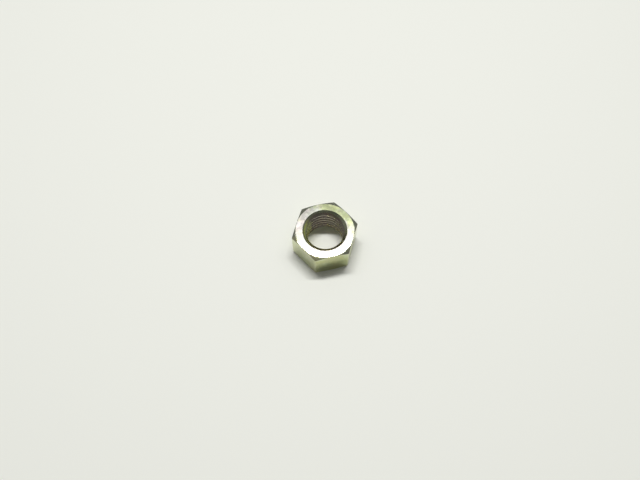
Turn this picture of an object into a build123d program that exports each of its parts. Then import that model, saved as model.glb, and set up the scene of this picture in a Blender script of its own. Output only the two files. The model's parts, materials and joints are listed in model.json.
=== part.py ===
from build123d import *
from build123d.topology import SkipClean
import math
import os

# Plain hex nut, metric coarse thread, narrow across-flats series. All sizes are in millimetres.
# The frame's origin is the centre of the lower bearing face, +Z runs up along the thread's axis,
# and two opposite corners of the hexagon lie on the X axis.

# Hexagonal body
across_flats = 22.0
nut_height = 13.0
bearing_margin = 0.15  # from the bearing face's edge to the middle of each flat
corner_chamfer_angle = 30.0  # of the chord, measured up from the bearing face
corner_chamfer_crown = 0.03  # how far the formed chamfer swells outside a true cone

# Right-handed thread, basic profile of the 60 degree metric series
thread_diameter = 16.0
thread_pitch = 2.0
flank_half_angle = 30.0
crest_share = 0.25  # the crest's width over the pitch, at the minor diameter
root_share = 0.125  # the root's width over the pitch, at the major diameter

# Countersink at each end of the thread
countersink_oversize = 0.8  # its diameter over the thread's, at the bearing face
countersink_angle = 90.0

# How the tools that cut the nut are drawn
bore_arcs = 6  # the bore's wall is drawn as this many equal arcs
overlap = 0.15  # how far a cutter stands clear of the surface that it cuts through
thread_overrun = 1.2  # pitches that the thread runs past each face, into the air

body_node = "nut_body"

corner_radius = across_flats / math.sqrt(3)
bearing_radius = across_flats / 2 - bearing_margin
flank_slope = math.tan(math.radians(flank_half_angle))
major_radius = thread_diameter / 2
thread_depth = (1 - crest_share - root_share) * thread_pitch / (2 * flank_slope)
minor_radius = major_radius - thread_depth
countersink_slope = math.tan(math.radians(countersink_angle / 2))
countersink_radius = major_radius + countersink_oversize / 2
countersink_depth = (countersink_radius - minor_radius) / countersink_slope


def turned(outline):
    """Solid of revolution from a closed outline drawn as (radius, height)."""
    return revolve(Plane.XZ * make_face(outline), axis=Axis.Z)


def hexagon():
    """Hexagonal bar cut to height, with sharp corners."""
    return extrude(RegularPolygon(corner_radius, 6), amount=nut_height)


def corner_envelope():
    """Turned body whose slightly crowned ends take the sharp tips off the hexagon."""
    reach = corner_radius + overlap
    rise = (reach - bearing_radius) * math.tan(math.radians(corner_chamfer_angle))
    lower_edge = (bearing_radius, 0)
    lower_reach = (reach, rise)
    upper_reach = (reach, nut_height - rise)
    upper_edge = (bearing_radius, nut_height)
    outline = [
        Line((0, 0), lower_edge),
        SagittaArc(lower_edge, lower_reach, -corner_chamfer_crown),
        Line(lower_reach, upper_reach),
        SagittaArc(upper_reach, upper_edge, -corner_chamfer_crown),
        Line(upper_edge, (0, nut_height)),
        Line((0, nut_height), (0, 0)),
    ]
    return turned(Wire(outline))


def bore_cutter():
    """Straight bore at the thread's minor diameter."""
    sweep_angle = 360 / bore_arcs
    arcs = [CenterArc((0, 0), minor_radius, i * sweep_angle, sweep_angle) for i in range(bore_arcs)]
    plug = extrude(make_face(Wire(arcs)), amount=nut_height + 2 * overlap, clean=False)
    return Pos(0, 0, -overlap) * plug


def lower_countersink():
    """Cone that opens the bore at the lower bearing face."""
    mouth_radius = countersink_radius + overlap * countersink_slope
    outline = Polyline(
        (0, -overlap),
        (mouth_radius, -overlap),
        (minor_radius, countersink_depth),
        (0, countersink_depth),
        close=True,
    )
    return turned(outline)


def thread_cutters():
    """The helical groove, one turn in each cutter, from below the nut to above it."""
    inner_radius = minor_radius - overlap
    root_half = root_share * thread_pitch / 2
    mouth_half = root_half + (major_radius - inner_radius) * flank_slope
    groove = Polyline(
        (inner_radius, -mouth_half),
        (major_radius, -root_half),
        (major_radius, root_half),
        (inner_radius, mouth_half),
        close=True,
    )
    path = Helix(thread_pitch, thread_pitch, minor_radius)
    one_turn = sweep(Plane.XZ * make_face(groove), path=path, is_frenet=True, clean=False)
    turns = math.ceil(nut_height / thread_pitch + 2 * thread_overrun)
    start = nut_height / 2 - turns * thread_pitch / 2
    return [(Pos(0, 0, start + i * thread_pitch) * one_turn).solid() for i in range(turns)]


def nut_body():
    """The whole nut: chamfered hexagon, countersunk at both ends and tapped right through."""
    lower_sink = lower_countersink()
    upper_sink = Pos(0, 0, nut_height) * Rot(180, 0, 0) * lower_sink
    blank = (hexagon() & corner_envelope()).solid()
    with SkipClean():  # the bore's arcs stay separate faces
        bored = blank.cut(bore_cutter(), lower_sink, upper_sink)
        tapped = bored.cut(*thread_cutters())
    return tapped.solid()


os.makedirs("parts", exist_ok=True)
body = nut_body()
body.label = body_node
export_step(body, "parts/" + body_node + ".step")
print(body_node, "volume", round(body.volume, 2), "mm3")
print("minor radius", round(minor_radius, 4), "mm, countersink depth", round(countersink_depth, 4), "mm")
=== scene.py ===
import json
import math

import bmesh
import bpy
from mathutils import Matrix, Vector


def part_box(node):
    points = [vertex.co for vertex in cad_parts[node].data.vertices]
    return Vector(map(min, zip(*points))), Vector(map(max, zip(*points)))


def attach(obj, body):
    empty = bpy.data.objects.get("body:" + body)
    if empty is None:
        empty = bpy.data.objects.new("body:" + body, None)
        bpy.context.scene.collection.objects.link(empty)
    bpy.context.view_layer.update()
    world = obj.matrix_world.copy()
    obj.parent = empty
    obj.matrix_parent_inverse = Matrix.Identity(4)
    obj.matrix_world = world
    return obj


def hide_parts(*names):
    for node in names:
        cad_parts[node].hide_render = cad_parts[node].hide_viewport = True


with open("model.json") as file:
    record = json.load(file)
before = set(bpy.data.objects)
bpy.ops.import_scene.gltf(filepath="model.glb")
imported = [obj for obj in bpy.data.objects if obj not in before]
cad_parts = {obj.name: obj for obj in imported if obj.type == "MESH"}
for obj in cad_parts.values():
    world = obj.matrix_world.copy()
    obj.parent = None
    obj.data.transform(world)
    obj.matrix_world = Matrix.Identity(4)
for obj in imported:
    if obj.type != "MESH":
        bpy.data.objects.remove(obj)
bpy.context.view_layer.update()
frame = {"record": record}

nodeLow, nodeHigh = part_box("nut_body")
nutHeight = nodeHigh.z - nodeLow.z
cornerRadius = nodeHigh.x
flatRadius = nodeHigh.y
mounts = {mount["name"]: mount for mount in frame["record"]["mounts"]}
minorRadius = mounts["thread"]["dims"]["r_mm"] / 1000
roundSteps = 144  # facets in a full turn, for every round surface
print("frame loaded, nut is", round(nutHeight * 1000, 2), "mm high")


def deselectAll():
    if bpy.context.mode != "OBJECT":
        bpy.ops.object.mode_set(mode="OBJECT")
    bpy.ops.object.select_all(action="DESELECT")


def selectOnly(obj):
    deselectAll()
    bpy.context.view_layer.objects.active = obj
    obj.select_set(True)


def editOnly(obj):
    selectOnly(obj)
    bpy.ops.object.mode_set(mode="EDIT")
    bpy.ops.mesh.select_all(action="DESELECT")


def pickOnly(obj, kind, wanted):
    # kind is VERT, EDGE or FACE
    bpy.ops.mesh.select_mode(type=kind)
    bpy.ops.mesh.select_all(action="DESELECT")
    mesh = bmesh.from_edit_mesh(obj.data)
    for part in {"VERT": mesh.verts, "EDGE": mesh.edges, "FACE": mesh.faces}[kind]:
        if wanted(part):
            part.select_set(True)
    bmesh.update_edit_mesh(obj.data)


def applyModifier(obj, kind, **settings):
    selectOnly(obj)
    modifier = obj.modifiers.new(kind.title(), kind)
    for key, value in settings.items():
        setattr(modifier, key, value)
    bpy.ops.object.modifier_apply(modifier=modifier.name)


def cutWith(obj, tool, operation):
    applyModifier(obj, "BOOLEAN", object=tool, operation=operation, solver="EXACT")
    bpy.data.objects.remove(tool, do_unlink=True)


def turnedTool(name, stations):
    # a disc at the first (radius, height), pulled up and scaled to each further one
    deselectAll()
    radius, level = stations[0]
    bpy.ops.mesh.primitive_circle_add(
        vertices=roundSteps, radius=radius, fill_type="NGON", location=(0, 0, level))
    tool = bpy.context.object
    tool.name = name
    bpy.ops.object.transform_apply(location=True, rotation=True, scale=True)
    editOnly(tool)
    bpy.ops.mesh.select_all(action="SELECT")
    for nextRadius, nextLevel in stations[1:]:
        bpy.ops.mesh.extrude_region_move(
            TRANSFORM_OT_translate={"value": (0, 0, nextLevel - level)})
        share = nextRadius / radius
        bpy.ops.transform.resize(value=(share, share, 1), center_override=(0, 0, nextLevel))
        radius, level = nextRadius, nextLevel
    bpy.ops.mesh.select_all(action="SELECT")
    bpy.ops.mesh.normals_make_consistent(inside=False)
    deselectAll()
    return tool


nutShape = {
    "bearingMargin": 0.00015,  # bearing face's edge to the middle of each flat
    "chamferAngle": 30,
    "chamferCrown": 0.00003,
    "crownSteps": 4,
    "cornerRound": 0.0003,  # upright corners of the hexagon
    "cornerSteps": 5,
    "edgeRound": 0.00007,
    "edgeSteps": 3,
    "edgeAngle": 21,  # edges sharper than this get rounded
    "smoothAngle": 30,
    "pitch": 0.002,
    "threadRadius": 0.008,
    "crestShare": 0.25,
    "rootShare": 0.125,
    "crestRound": 0.00008,
    "rootRound": 0.00009,
    "threadSteps": 3,
    "threadTurns": 10,
    "sinkOversize": 0.0004,  # countersink's radius over the thread's
    "spare": 0.001,  # how far a cutting tool stands clear of the nut
    "coreGap": 0.0003,  # stock left in the bore for the tap
    "weldDistance": 0.0000001,
}


mouthRadius = nutShape["threadRadius"] + nutShape["sinkOversize"]
bearingRadius = flatRadius - nutShape["bearingMargin"]


def hexBar():
    deselectAll()
    bpy.ops.mesh.primitive_cylinder_add(
        vertices=6, radius=cornerRadius, depth=nutHeight,
        location=(0, 0, nutHeight / 2), rotation=(0, 0, math.radians(30)))
    bar = bpy.context.object
    bar.name = "nut"
    bpy.ops.object.transform_apply(location=True, rotation=True, scale=True)
    editOnly(bar)
    pickOnly(
        bar, "EDGE",
        lambda edge: abs(edge.verts[0].co.z - edge.verts[1].co.z) > nutHeight / 2)
    bpy.ops.mesh.bevel(
        offset=nutShape["cornerRound"], segments=nutShape["cornerSteps"], affect="EDGES")
    deselectAll()
    return bar


def chamferTool():
    reach = cornerRadius + nutShape["spare"]
    slope = math.tan(math.radians(nutShape["chamferAngle"]))
    lower = []
    for step in range(nutShape["crownSteps"] + 1):
        share = step / nutShape["crownSteps"]
        radius = bearingRadius + (reach - bearingRadius) * share
        swell = nutShape["chamferCrown"] * 4 * share * (1 - share)
        lower.append((radius, (radius - bearingRadius) * slope - swell))
    upper = [(radius, nutHeight - level) for radius, level in reversed(lower)]
    return turnedTool("chamferTool", lower + upper)


def reamer():
    coreRadius = minorRadius - nutShape["coreGap"]
    spare = nutShape["spare"]
    sinkDepth = mouthRadius - coreRadius  # a 90 degree countersink
    return turnedTool("reamer", [
        (mouthRadius + spare, -spare),
        (coreRadius, sinkDepth),
        (coreRadius, nutHeight - sinkDepth),
        (mouthRadius + spare, nutHeight + spare),
    ])


def tap():
    pitch = nutShape["pitch"]
    halfCrest = pitch * nutShape["crestShare"] / 2
    halfRoot = pitch * nutShape["rootShare"] / 2
    start = nutHeight / 2 - pitch * nutShape["threadTurns"] / 2
    outline = [  # radius and height through one pitch, from crest to crest
        (minorRadius, 0),
        (minorRadius, halfCrest),
        (nutShape["threadRadius"], pitch / 2 - halfRoot),
        (nutShape["threadRadius"], pitch / 2 + halfRoot),
        (minorRadius, pitch - halfCrest),
        (minorRadius, pitch),
    ]
    deselectAll()
    bpy.ops.mesh.primitive_plane_add(size=pitch, location=(minorRadius, 0, start))
    tool = bpy.context.object
    tool.name = "tap"
    bpy.ops.object.transform_apply(location=True, rotation=True, scale=True)
    editOnly(tool)
    bpy.ops.mesh.select_mode(type="VERT")
    bpy.ops.mesh.select_all(action="SELECT")
    bpy.ops.mesh.merge(type="CENTER")
    for here, there in zip(outline, outline[1:]):
        bpy.ops.mesh.extrude_vertices_move(
            TRANSFORM_OT_translate={"value": (there[0] - here[0], 0, there[1] - here[1])})
    tiny = pitch / 1000
    crestEdges = (start + halfCrest, start + pitch - halfCrest)
    pickOnly(
        tool, "VERT",
        lambda point: min(abs(point.co.z - level) for level in crestEdges) < tiny)
    bpy.ops.mesh.bevel(
        offset=nutShape["crestRound"], segments=nutShape["threadSteps"], affect="VERTICES")
    pickOnly(tool, "VERT", lambda point: point.co.x > nutShape["threadRadius"] - tiny)
    bpy.ops.mesh.bevel(
        offset=nutShape["rootRound"], segments=nutShape["threadSteps"], affect="VERTICES")
    deselectAll()
    applyModifier(
        tool, "SCREW", axis="Z", angle=math.tau, screw_offset=pitch, steps=roundSteps,
        render_steps=roundSteps, iterations=nutShape["threadTurns"])
    editOnly(tool)
    bpy.ops.mesh.select_all(action="SELECT")
    bpy.ops.mesh.remove_doubles(threshold=tiny)  # joins each turn to the next
    middle = nutHeight / 2
    for end in (-1, 1):  # each open end is drawn in to a point on the axis
        pickOnly(
            tool, "EDGE",
            lambda edge: edge.is_boundary and (edge.verts[0].co.z - middle) * end > 0)
        bpy.ops.mesh.extrude_region_move(
            TRANSFORM_OT_translate={"value": (0, 0, 2 * pitch * end)})
        bpy.ops.mesh.merge(type="CENTER")
    bpy.ops.mesh.select_all(action="SELECT")
    bpy.ops.mesh.normals_make_consistent(inside=False)
    deselectAll()
    return tool


def tappedNut():
    body = hexBar()
    cutWith(body, chamferTool(), "INTERSECT")
    cutWith(body, reamer(), "DIFFERENCE")
    applyModifier(
        body, "BEVEL", width=nutShape["edgeRound"], segments=nutShape["edgeSteps"],
        limit_method="ANGLE", angle_limit=math.radians(nutShape["edgeAngle"]))
    cutWith(body, tap(), "DIFFERENCE")
    editOnly(body)
    bpy.ops.mesh.select_all(action="SELECT")
    bpy.ops.mesh.remove_doubles(threshold=nutShape["weldDistance"])
    bpy.ops.mesh.normals_make_consistent(inside=False)
    selectOnly(body)
    bpy.ops.object.shade_smooth_by_angle(angle=math.radians(nutShape["smoothAngle"]))
    applyModifier(body, "WEIGHTED_NORMAL", keep_sharp=True)
    return body


nut = tappedNut()
print("nut modelled with", len(nut.data.polygons), "faces")


def newGroup(name, inputs, outputs):
    group = bpy.data.node_groups.new(name, "ShaderNodeTree")
    for label, kind, value in inputs:
        socket = group.interface.new_socket(label, in_out="INPUT", socket_type=kind)
        socket.default_value = value
    for label, kind in outputs:
        group.interface.new_socket(label, in_out="OUTPUT", socket_type=kind)
    start = group.nodes.new("NodeGroupInput")
    end = group.nodes.new("NodeGroupOutput")
    return group, start.outputs, end.inputs


def feed(tree, socket, value):
    # a socket is linked, and anything else is set on the input itself
    if isinstance(value, bpy.types.NodeSocket):
        tree.links.new(value, socket)
    else:
        socket.default_value = value


def addNode(tree, kind, inputs=None, **settings):
    node = tree.nodes.new("ShaderNode" + kind)
    for key, value in settings.items():
        setattr(node, key, value)
    for key, value in (inputs or {}).items():
        feed(tree, node.inputs[key], value)
    return node


def useGroup(tree, group, inputs):
    node = tree.nodes.new("ShaderNodeGroup")
    node.node_tree = group
    for key, value in inputs.items():
        feed(tree, node.inputs[key], value)
    return node.outputs


def mathNode(tree, operation, *values, clamp=False):
    inputs = dict(enumerate(values))
    return addNode(tree, "Math", inputs, operation=operation, use_clamp=clamp).outputs[0]


def vectorNode(tree, operation, inputs, output="Vector"):
    return addNode(tree, "VectorMath", inputs, operation=operation).outputs[output]


def softRamp(tree, value, low, high, toLow=0.0, toHigh=1.0):
    inputs = {"Value": value, "From Min": low, "From Max": high, "To Min": toLow, "To Max": toHigh}
    return addNode(tree, "MapRange", inputs, interpolation_type="SMOOTHSTEP").outputs[0]


def mixColours(tree, share, first, second):
    node = addNode(tree, "Mix", data_type="RGBA")
    feed(tree, node.inputs[0], share)
    feed(tree, node.inputs[6], first)
    feed(tree, node.inputs[7], second)
    return node.outputs[2]


def noiseNode(tree, place, scale, detail=2.0, rough=0.5):
    inputs = {"Vector": place, "Scale": scale, "Detail": detail, "Roughness": rough}
    return addNode(tree, "TexNoise", inputs).outputs


def axisRadius(tree, place):
    sideways = vectorNode(tree, "MULTIPLY", {0: place, 1: (1, 1, 0)})
    return vectorNode(tree, "LENGTH", {0: sideways}, "Value")


filmPattern = {
    "patchEdges": (0.38, 0.66),  # where the second colour starts to show, and where it is full
    "hueScale": 310.0,
    "hueStep": 0.12,
    "speckScale": 2600.0,
    "speckEdges": (0.35, 0.75),
    "speckShades": (0.90, 1.04),
}


def makeFilmTintAndPaintedLight():
    # a second film colour takes over in ragged patches, thicker towards one side of the nut; on
    # several faces that side and the second's brightness paint shade or a highlight there
    group, start, end = newGroup(
        "filmTintAndPaintedLight",
        [("Place", "NodeSocketVector", (0, 0, 0)),
         ("Film", "NodeSocketColor", (0.6, 0.6, 0.4, 1)),
         ("Second", "NodeSocketColor", (0.5, 0.6, 0.3, 1)),
         ("Lean", "NodeSocketVector", (0, 0, 0)),
         ("Cover", "NodeSocketFloat", 0.5),
         ("Scale", "NodeSocketFloat", 150.0)],
        [("Color", "NodeSocketColor")])
    patches = noiseNode(group, start["Place"], start["Scale"], 4.0, 0.6)[0]
    lean = vectorNode(group, "DOT_PRODUCT", {0: start["Place"], 1: start["Lean"]}, "Value")
    offset = mathNode(group, "ADD", lean, mathNode(group, "SUBTRACT", start["Cover"], 0.5))
    level = mathNode(group, "ADD", patches, offset)
    share = softRamp(group, level, *filmPattern["patchEdges"])
    film = mixColours(group, share, start["Film"], start["Second"])
    slow = noiseNode(group, start["Place"], filmPattern["hueScale"])["Color"]
    centred = vectorNode(group, "SUBTRACT", {0: slow, 1: (0.5, 0.5, 0.5)})
    hueShift = vectorNode(group, "SCALE", {0: centred, "Scale": filmPattern["hueStep"]})
    shifted = vectorNode(group, "ADD", {0: film, 1: hueShift})
    fine = noiseNode(group, start["Place"], filmPattern["speckScale"], 2.0, 0.6)[0]
    speck = softRamp(group, fine, *filmPattern["speckEdges"], *filmPattern["speckShades"])
    speckled = vectorNode(group, "SCALE", {0: shifted, "Scale": speck})
    group.links.new(speckled, end["Color"])
    return group


grainPattern = {
    "grainScale": 5200.0,
    "grainShare": 0.35,
    "pitScale": 1500.0,
    "pitEdges": (0.66, 0.74),
    "scratchTurn": (0.3, 0.5, 0.9),
    "scratchStretch": (60, 2600, 2600),
    "scratchEdges": (0.62, 0.70),
    "mattScale": 420.0,
    "mattEdges": (0.35, 0.70),
    "mattMarks": 0.6,  # how matt a pit or a scratch is
}


def makePlatedGrain():
    # pits, handling scratches and a fine matt grain, as a height and a matt mask
    group, start, end = newGroup(
        "platedGrain",
        [("Place", "NodeSocketVector", (0, 0, 0)),
         ("Pits", "NodeSocketFloat", 0.5),
         ("Scratches", "NodeSocketFloat", 0.5)],
        [("Height", "NodeSocketFloat"), ("Matt", "NodeSocketFloat")])
    grain = noiseNode(group, start["Place"], grainPattern["grainScale"], 3.0, 0.6)[0]
    pitField = noiseNode(group, start["Place"], grainPattern["pitScale"], 1.0)[0]
    pits = softRamp(group, pitField, *grainPattern["pitEdges"])
    stretched = addNode(group, "Mapping", {
        "Vector": start["Place"],
        "Rotation": grainPattern["scratchTurn"],
        "Scale": grainPattern["scratchStretch"],
    }).outputs[0]
    scratchField = noiseNode(group, stretched, 1.0)[0]
    scratches = softRamp(group, scratchField, *grainPattern["scratchEdges"])
    marks = mathNode(
        group, "ADD",
        mathNode(group, "MULTIPLY", pits, start["Pits"]),
        mathNode(group, "MULTIPLY", scratches, start["Scratches"]))
    raised = mathNode(group, "MULTIPLY", grain, grainPattern["grainShare"])
    group.links.new(mathNode(group, "SUBTRACT", raised, marks), end["Height"])
    patches = noiseNode(group, start["Place"], grainPattern["mattScale"], 3.0, 0.6)[0]
    mattPatches = softRamp(group, patches, *grainPattern["mattEdges"])
    mattMarks = mathNode(group, "MULTIPLY", marks, grainPattern["mattMarks"])
    group.links.new(mathNode(group, "ADD", mattPatches, mattMarks, clamp=True), end["Matt"])
    return group


turningPattern = {
    "wobbleScale": 300.0,
    "wobbleEdges": (0.3, 0.7),
    "faintest": 0.5,  # of the marks' full height, where they fade
}


def makeTurningMarks():
    # concentric tool marks about the thread's axis
    group, start, end = newGroup(
        "turningMarks",
        [("Place", "NodeSocketVector", (0, 0, 0)), ("Spacing", "NodeSocketFloat", 0.0002)],
        [("Height", "NodeSocketFloat")])
    step = mathNode(group, "DIVIDE", axisRadius(group, start["Place"]), start["Spacing"])
    alongRadius = addNode(group, "CombineXYZ", {0: step}).outputs[0]
    rings = noiseNode(group, alongRadius, 1.0, 3.0, 0.7)[0]
    wobble = noiseNode(group, start["Place"], turningPattern["wobbleScale"], 1.0)[0]
    fade = softRamp(group, wobble, *turningPattern["wobbleEdges"], turningPattern["faintest"], 1.0)
    group.links.new(mathNode(group, "MULTIPLY", rings, fade), end["Height"])
    return group


wearPattern = {
    "width": 0.0003,
    "raggedScale": 1400.0,
    "raggedEdges": (0.3, 0.7),
    "narrowest": 0.2,  # shares of the width
    "widest": 1.8,
    "solidShare": 0.2,  # of the width, fully worn before it fades
    "crestEdges": (0.00005, 0.0003),  # how far out from the thread's crests the rubbing and the painted crest highlight fade
}


def makeEdgeWearAndCrestGlint():
    # a mask of bare-zinc wear along the upright corners and the chamfer's arched edges, plus a
    # painted highlight along the thread's crests that also stands for rubbing there
    group, start, end = newGroup(
        "edgeWearAndCrestGlint", [("Place", "NodeSocketVector", (0, 0, 0))], [("Mask", "NodeSocketFloat")])
    reaches = []
    for side in range(3):
        angle = math.radians(30 + 60 * side)
        facing = (math.cos(angle), math.sin(angle), 0)
        along = vectorNode(group, "DOT_PRODUCT", {0: start["Place"], 1: facing}, "Value")
        reaches.append(mathNode(group, "ABSOLUTE", along))
    first, second, third = reaches
    fromCorner = mathNode(group, "MINIMUM", mathNode(group, "MINIMUM", first, second), third)
    reach = mathNode(group, "MAXIMUM", mathNode(group, "MAXIMUM", first, second), third)
    fromFlat = mathNode(group, "SUBTRACT", flatRadius, reach)
    slope = math.tan(math.radians(nutShape["chamferAngle"]))
    radius = axisRadius(group, start["Place"])
    outwards = mathNode(group, "SUBTRACT", radius, bearingRadius)
    drop = mathNode(group, "MULTIPLY", outwards, slope)
    chamferLevel = mathNode(group, "SUBTRACT", nutHeight / 2, drop)
    level = addNode(group, "SeparateXYZ", {0: start["Place"]}).outputs[2]
    fromMiddle = mathNode(group, "ABSOLUTE", mathNode(group, "SUBTRACT", level, nutHeight / 2))
    fromChamfer = mathNode(group, "ABSOLUTE", mathNode(group, "SUBTRACT", chamferLevel, fromMiddle))
    nearest = mathNode(group, "ADD", fromFlat, mathNode(group, "MINIMUM", fromCorner, fromChamfer))
    ragged = noiseNode(group, start["Place"], wearPattern["raggedScale"], 3.0, 0.65)[0]
    width = softRamp(
        group, ragged, *wearPattern["raggedEdges"],
        wearPattern["width"] * wearPattern["narrowest"],
        wearPattern["width"] * wearPattern["widest"])
    share = mathNode(group, "DIVIDE", nearest, width)
    outside = softRamp(group, share, wearPattern["solidShare"], 1.0, 1.0, 0.0)
    crestFrom, crestTo = wearPattern["crestEdges"]
    # painted highlight along the thread's crests, partly real rubbing
    crestRubAndGlint = softRamp(group, radius, minorRadius + crestFrom, minorRadius + crestTo, 1.0, 0.0)
    group.links.new(mathNode(group, "MAXIMUM", outside, crestRubAndGlint), end["Mask"])
    return group


filmTintAndPaintedLight = makeFilmTintAndPaintedLight()
platedGrain = makePlatedGrain()
turningMarks = makeTurningMarks()
edgeWearAndCrestGlint = makeEdgeWearAndCrestGlint()
print("shader groups made")


# film and second are the plating's two colours, and on several faces the second also carries
# painted shade or a painted highlight, noted at each lean points to the side with more of the
# second, and rough goes from bright to matt
finishes = {
    "formedFlat": {
        "film": (0.63, 0.66, 0.41, 1),
        # darker second colour gathers low on the flats and on the front ones: painted shade where
        # the flats mirror the floor's shadow at their foot
        "second": (0.54, 0.57, 0.28, 1),
        "lean": (4, -14, -14),
        "cover": 0.54,
        "scale": 150,
        "rough": (0.14, 0.26),
        "pits": 0.5,
        "scratches": 0.45,
        "grainDepth": 0.000004,
        "ringDepth": 0.0,
        "ringSpacing": 0.0004,
        "wear": 0.2,
    },
    "chamferFace": {
        "film": (0.62, 0.64, 0.49, 1),
        # pale, near-white second colour gathered on the chamfers at the front corner: chromate
        # tint, brightened as a painted highlight
        "second": (0.94, 0.91, 0.56, 1),
        "lean": (-10, -20, 0),
        "cover": 0.40,
        "scale": 170,
        "rough": (0.13, 0.24),
        "pits": 0.4,
        "scratches": 0.5,
        "grainDepth": 0.000004,
        "ringDepth": 0.000004,
        "ringSpacing": 0.00025,
        "wear": 0.3,
    },
    "bearingFace": {
        "film": (0.585, 0.565, 0.51, 1),
        "second": (0.51, 0.555, 0.31, 1),
        "lean": (21, 27, 0),
        "cover": 0.34,
        "scale": 260,
        "rough": (0.2, 0.24),
        "pits": 0.3,
        "scratches": 0.35,
        "grainDepth": 0.000002,
        "ringDepth": 0.000005,
        "ringSpacing": 0.00025,
        "wear": 0.2,
    },
    "countersinkFace": {
        "film": (0.62, 0.64, 0.46, 1),
        # bright yellow-green second colour towards the left of the mouth: chromate tint, lightened
        # as a painted reflection
        "second": (0.80, 0.86, 0.40, 1),
        "lean": (-30, -26, 0),
        "cover": 0.3,
        "scale": 150,
        "rough": (0.18, 0.30),
        "pits": 0.2,
        "scratches": 0.3,
        "grainDepth": 0.000002,
        "ringDepth": 0.000003,
        "ringSpacing": 0.0002,
        "wear": 0.4,
    },
    "threadFace": {
        # brownish film darkened well below the other faces: painted shade deep in the bore
        "film": (0.43, 0.355, 0.29, 1),
        # very bright yellow-green second colour gathered on the bore's left: chromate tint,
        # brightened as a painted reflection there
        "second": (0.92, 0.98, 0.36, 1),
        "lean": (-100, -12, 0),
        "cover": 0.13,
        "scale": 220,
        "rough": (0.22, 0.32),
        "pits": 0.1,
        "scratches": 0.0,
        "grainDepth": 0.000002,
        "ringDepth": 0.000001,
        "ringSpacing": 0.0002,
        # on the thread this mostly sets the strength of the painted crest highlight
        "wear": 0.25,
    },
}
# bare zinc on worn corners and edges, and the painted highlight colour on the thread's crests
bareZincAndGlint = (0.78, 0.76, 0.70, 1)


def platedSteel(name):
    look = finishes[name]
    material = bpy.data.materials.new(name)
    material.use_nodes = True
    tree = material.node_tree
    shader = tree.nodes["Principled BSDF"]
    shader.inputs["Metallic"].default_value = 1.0
    place = addNode(tree, "TexCoord").outputs["Object"]
    # plating tint, with painted shade and highlight on the faces whose second colour leans to one
    # side
    tintAndPaintedLight = useGroup(tree, filmTintAndPaintedLight, {
        "Place": place, "Film": look["film"], "Second": look["second"],
        "Lean": look["lean"], "Cover": look["cover"], "Scale": look["scale"]})["Color"]
    worn = useGroup(tree, edgeWearAndCrestGlint, {"Place": place})["Mask"]
    wornAndGlintShare = mathNode(tree, "MULTIPLY", worn, look["wear"])
    tree.links.new(mixColours(tree, wornAndGlintShare, tintAndPaintedLight, bareZincAndGlint), shader.inputs["Base Color"])
    grain = useGroup(tree, platedGrain, {
        "Place": place, "Pits": look["pits"], "Scratches": look["scratches"]})
    roughness = softRamp(tree, grain["Matt"], 0.0, 1.0, *look["rough"])
    tree.links.new(roughness, shader.inputs["Roughness"])
    rings = useGroup(tree, turningMarks, {"Place": place, "Spacing": look["ringSpacing"]})["Height"]
    relief = mathNode(
        tree, "ADD",
        mathNode(tree, "MULTIPLY", grain["Height"], look["grainDepth"]),
        mathNode(tree, "MULTIPLY", rings, look["ringDepth"]))
    bump = addNode(tree, "Bump", {"Height": relief, "Strength": 1.0, "Distance": 1.0})
    tree.links.new(bump.outputs[0], shader.inputs["Normal"])
    return material


for finishName in finishes:
    nut.data.materials.append(platedSteel(finishName))


faceRules = {
    "boreFacing": -0.1,  # how far a normal has to turn to the axis to belong to the bore
    "chamferRise": (0.2, 0.97),  # upright share of the normal, between a flat and an end
    "coneRise": (0.6, 0.8),
    "coneReach": 0.0001,
}


def paintFaces(obj, finishName, wanted):
    editOnly(obj)
    pickOnly(obj, "FACE", wanted)
    obj.active_material_index = list(finishes).index(finishName)
    bpy.ops.object.material_slot_assign()
    deselectAll()


def endDistance(face):
    level = face.calc_center_median().z
    return min(level, nutHeight - level)


def axisDistance(face):
    return face.calc_center_median().xy.length


def facesAxis(face):
    outwards = face.calc_center_median().xy.normalized()
    return face.normal.xy.dot(outwards) < faceRules["boreFacing"]


def onChamfer(face):
    low, high = faceRules["chamferRise"]
    return not facesAxis(face) and low < abs(face.normal.z) < high


def onBearing(face):
    level = faceRules["chamferRise"][1]
    return abs(face.normal.z) > level and endDistance(face) < nutShape["edgeRound"]


def inBore(face):
    return facesAxis(face) and axisDistance(face) < mouthRadius


def onCountersink(face):
    low, high = faceRules["coneRise"]
    fromCone = abs(axisDistance(face) + endDistance(face) - mouthRadius)
    onCone = fromCone < faceRules["coneReach"] and low < abs(face.normal.z) < high
    return inBore(face) and onCone


paintFaces(nut, "chamferFace", onChamfer)
paintFaces(nut, "bearingFace", onBearing)
paintFaces(nut, "threadFace", inBore)
paintFaces(nut, "countersinkFace", onCountersink)
print("finishes applied")
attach(nut, "root")
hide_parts("nut_body")

studio = {
    "floorSize": 1.3,
    "floorLevel": -0.00002,  # just clear of the lower bearing face
    "floorColour": (0.84, 0.845, 0.785, 1),
    "floorRoughness": 0.7,
    "backdropColour": (0.44, 0.445, 0.42, 1),  # seen behind the floor, lights nothing
    "wallColour": (0.20, 0.205, 0.20, 1),
    "viewerColour": (0.10, 0.10, 0.094, 1),  # the dim side of the room, behind the camera
    "ceilingColour": (0.25, 0.255, 0.25, 1),
    "viewerEdges": (-0.7, 0.1),  # how far round the room the dim side fades into the walls
    "ceilingEdges": (0.6, 0.92),
    "lamps": {"panelLamp": (0.5, 6.3), "tubeLamp": (1.16, 2.3)},  # length and power
    "lampWidth": 0.05,
    "lampDistance": 1.0,
    "lampElevation": 77,
    "lens": 33.75,
    "elevation": 66.05,
    "turn": -13.6,  # of the view about the nut, from looking along +Y
    "distance": 0.2232,
    "aimRight": -0.00182,  # from the centre of the upper face
    "aimUp": -0.00368,
}

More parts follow.
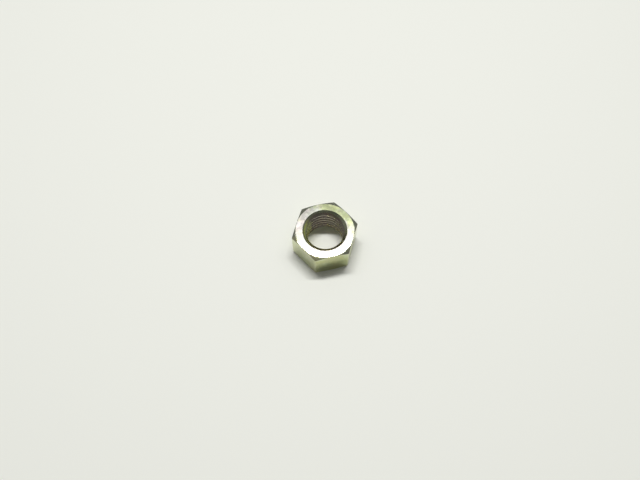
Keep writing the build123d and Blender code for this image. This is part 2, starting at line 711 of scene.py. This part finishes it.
deselectAll()
bpy.ops.mesh.primitive_plane_add(
    size=studio["floorSize"], location=(0, 0, studio["floorLevel"]))
floor = bpy.context.object
floor.name = "floor"
floorMaterial = bpy.data.materials.new("floorPaper")
floorMaterial.use_nodes = True
floorShader = floorMaterial.node_tree.nodes["Principled BSDF"]
floorShader.inputs["Base Color"].default_value = studio["floorColour"]
floorShader.inputs["Roughness"].default_value = studio["floorRoughness"]
floor.data.materials.append(floorMaterial)

turn = math.radians(studio["turn"])
rightWay = Vector((math.cos(turn), math.sin(turn), 0))
awayWay = Vector((-math.sin(turn), math.cos(turn), 0))
upWay = Vector((0, 0, 1))

world = bpy.data.worlds.new("room")
bpy.context.scene.world = world
world.use_nodes = True
roomTree = world.node_tree
wayOut = addNode(roomTree, "TexCoord").outputs["Generated"]
height = addNode(roomTree, "SeparateXYZ", {0: wayOut}).outputs[2]
depth = vectorNode(roomTree, "DOT_PRODUCT", {0: wayOut, 1: awayWay}, "Value")
behindLamp = softRamp(roomTree, depth, *studio["viewerEdges"])
walls = mixColours(roomTree, behindLamp, studio["viewerColour"], studio["wallColour"])
overhead = softRamp(roomTree, height, *studio["ceilingEdges"])
room = mixColours(roomTree, overhead, walls, studio["ceilingColour"])
seenDirectly = addNode(roomTree, "LightPath").outputs["Is Camera Ray"]
backdrop = mixColours(roomTree, seenDirectly, room, studio["backdropColour"])
roomTree.links.new(backdrop, roomTree.nodes["Background"].inputs["Color"])
bpy.context.scene.view_settings.view_transform = "Standard"

lampAngle = math.radians(studio["lampElevation"])
lampWay = awayWay * math.cos(lampAngle) + upWay * math.sin(lampAngle)
for lampName, (length, power) in studio["lamps"].items():
    lampData = bpy.data.lights.new(lampName, "AREA")
    lampData.shape = "RECTANGLE"
    lampData.size = length
    lampData.size_y = studio["lampWidth"]
    lampData.energy = power
    lamp = bpy.data.objects.new(lampName, lampData)
    bpy.context.collection.objects.link(lamp)
    lamp.location = lampWay * studio["lampDistance"]
    lamp.rotation_euler = lampWay.to_track_quat("Z", "Y").to_euler()

tilt = math.radians(studio["elevation"])
backWay = upWay * math.sin(tilt) - awayWay * math.cos(tilt)
screenUp = upWay * math.cos(tilt) + awayWay * math.sin(tilt)
target = Vector((0, 0, nutHeight)) + rightWay * studio["aimRight"] + screenUp * studio["aimUp"]
cameraData = bpy.data.cameras.new("camera")
cameraData.lens = studio["lens"]
camera = bpy.data.objects.new("camera", cameraData)
bpy.context.collection.objects.link(camera)
camera.location = target + backWay * studio["distance"]
camera.rotation_euler = backWay.to_track_quat("Z", "Y").to_euler()
bpy.context.scene.camera = camera
print("floor, room, lamps and camera set")
